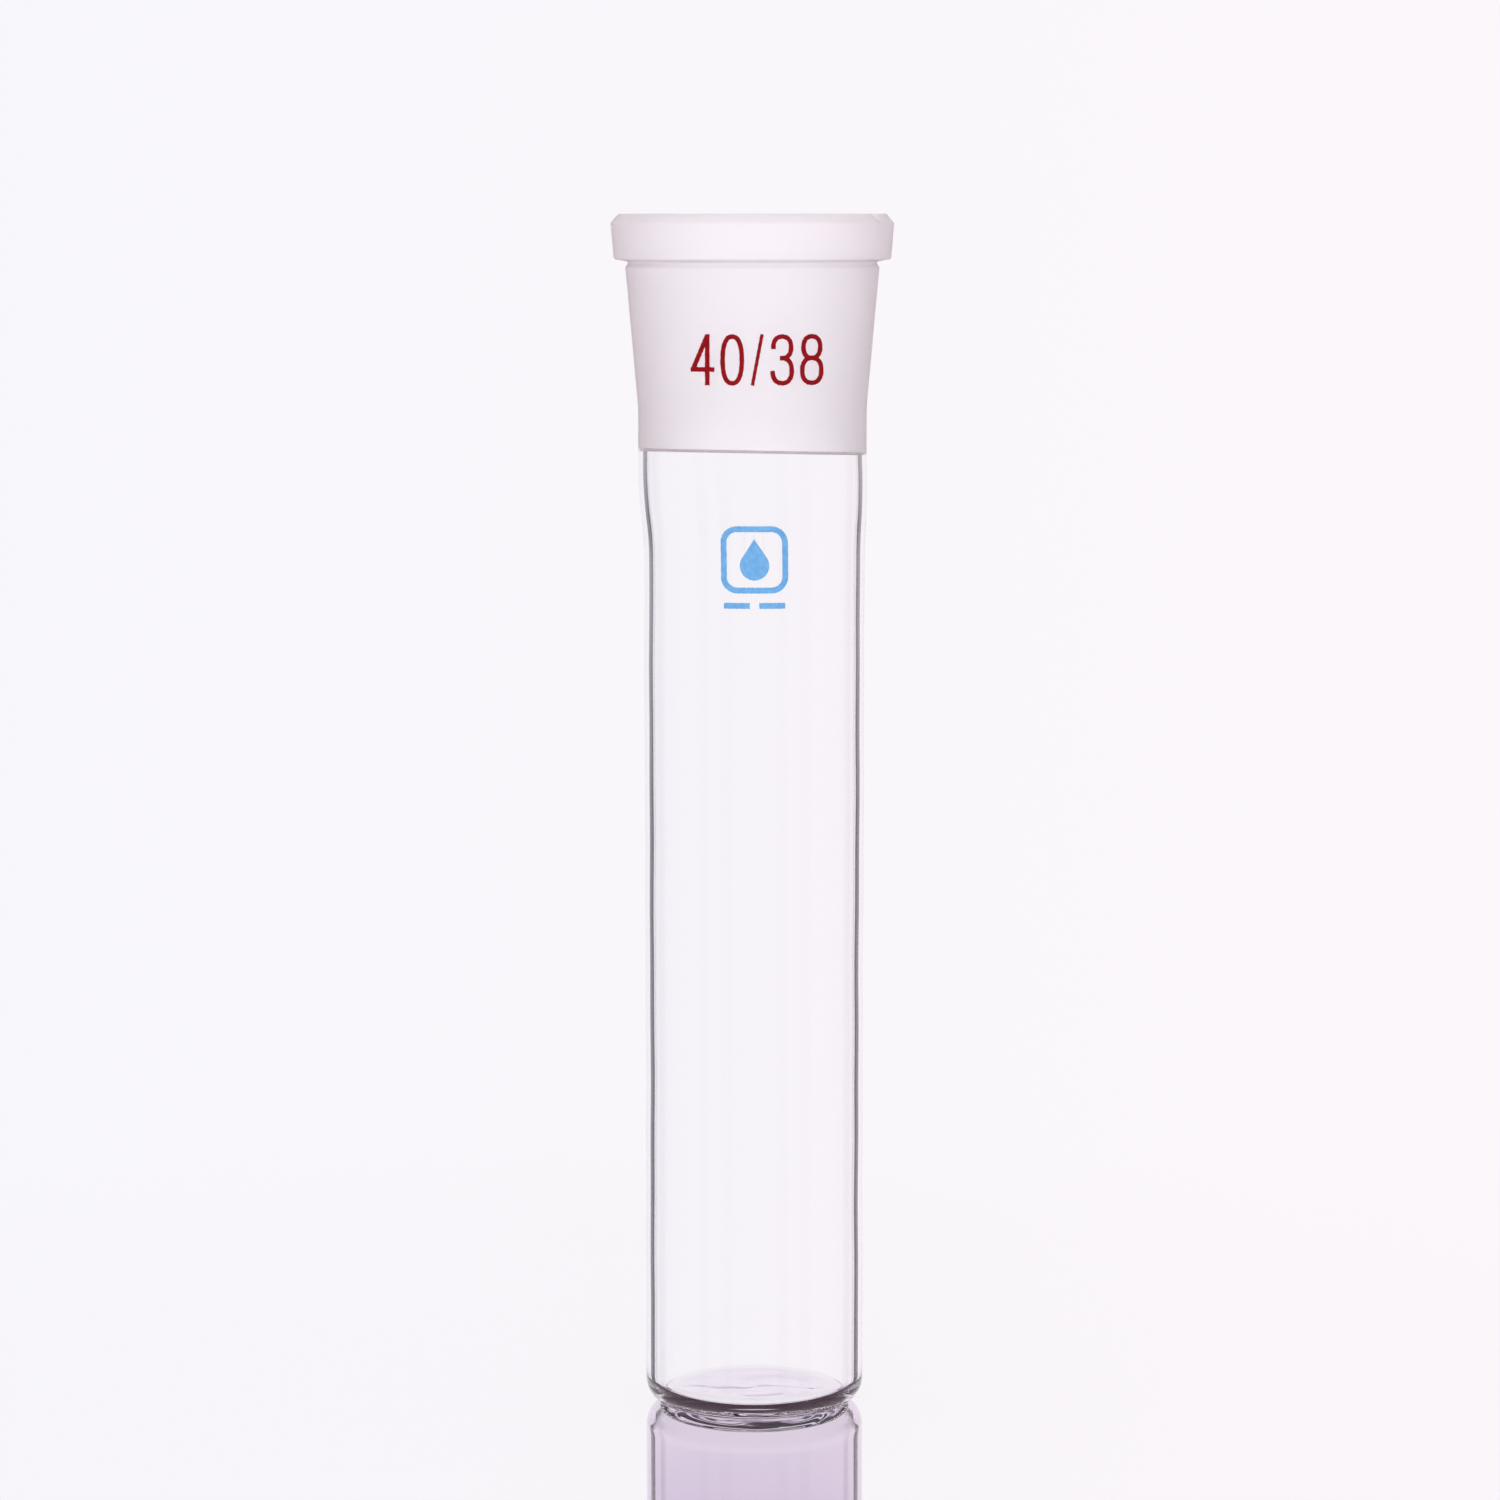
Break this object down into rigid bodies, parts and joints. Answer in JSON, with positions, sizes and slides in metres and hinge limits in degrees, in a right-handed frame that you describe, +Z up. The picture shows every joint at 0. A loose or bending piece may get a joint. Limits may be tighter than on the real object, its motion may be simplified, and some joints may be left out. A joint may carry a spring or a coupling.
{
  "type": "flat-bottomed ground-socket tube",
  "caption": "Straight clear glass tube with a flat closed bottom and a collared, frosted 1:10 standard-taper ground socket at its open top.",
  "frame": {"origin": "centre of the flat standing face under the base", "axes": "+Z up along the tube's axis to the mouth, -Y out through the prints on the front, +X to the right of a viewer facing the prints"},
  "size_m": [0.0486, 0.0486, 0.2075],
  "materials": {
    "clear_glass": "clear, fire polished",
    "ground_glass": "finely ground, matt white",
    "red_enamel": "fired-on enamel",
    "blue_enamel": "fired-on enamel"
  },
  "bodies": {
    "root": {"ground_socket": "ground_glass", "tube_body": "clear_glass", "flat_base": "clear_glass", "size_mark": "red_enamel", "tube_emblem": "blue_enamel"}
  },
  "joints": []
}
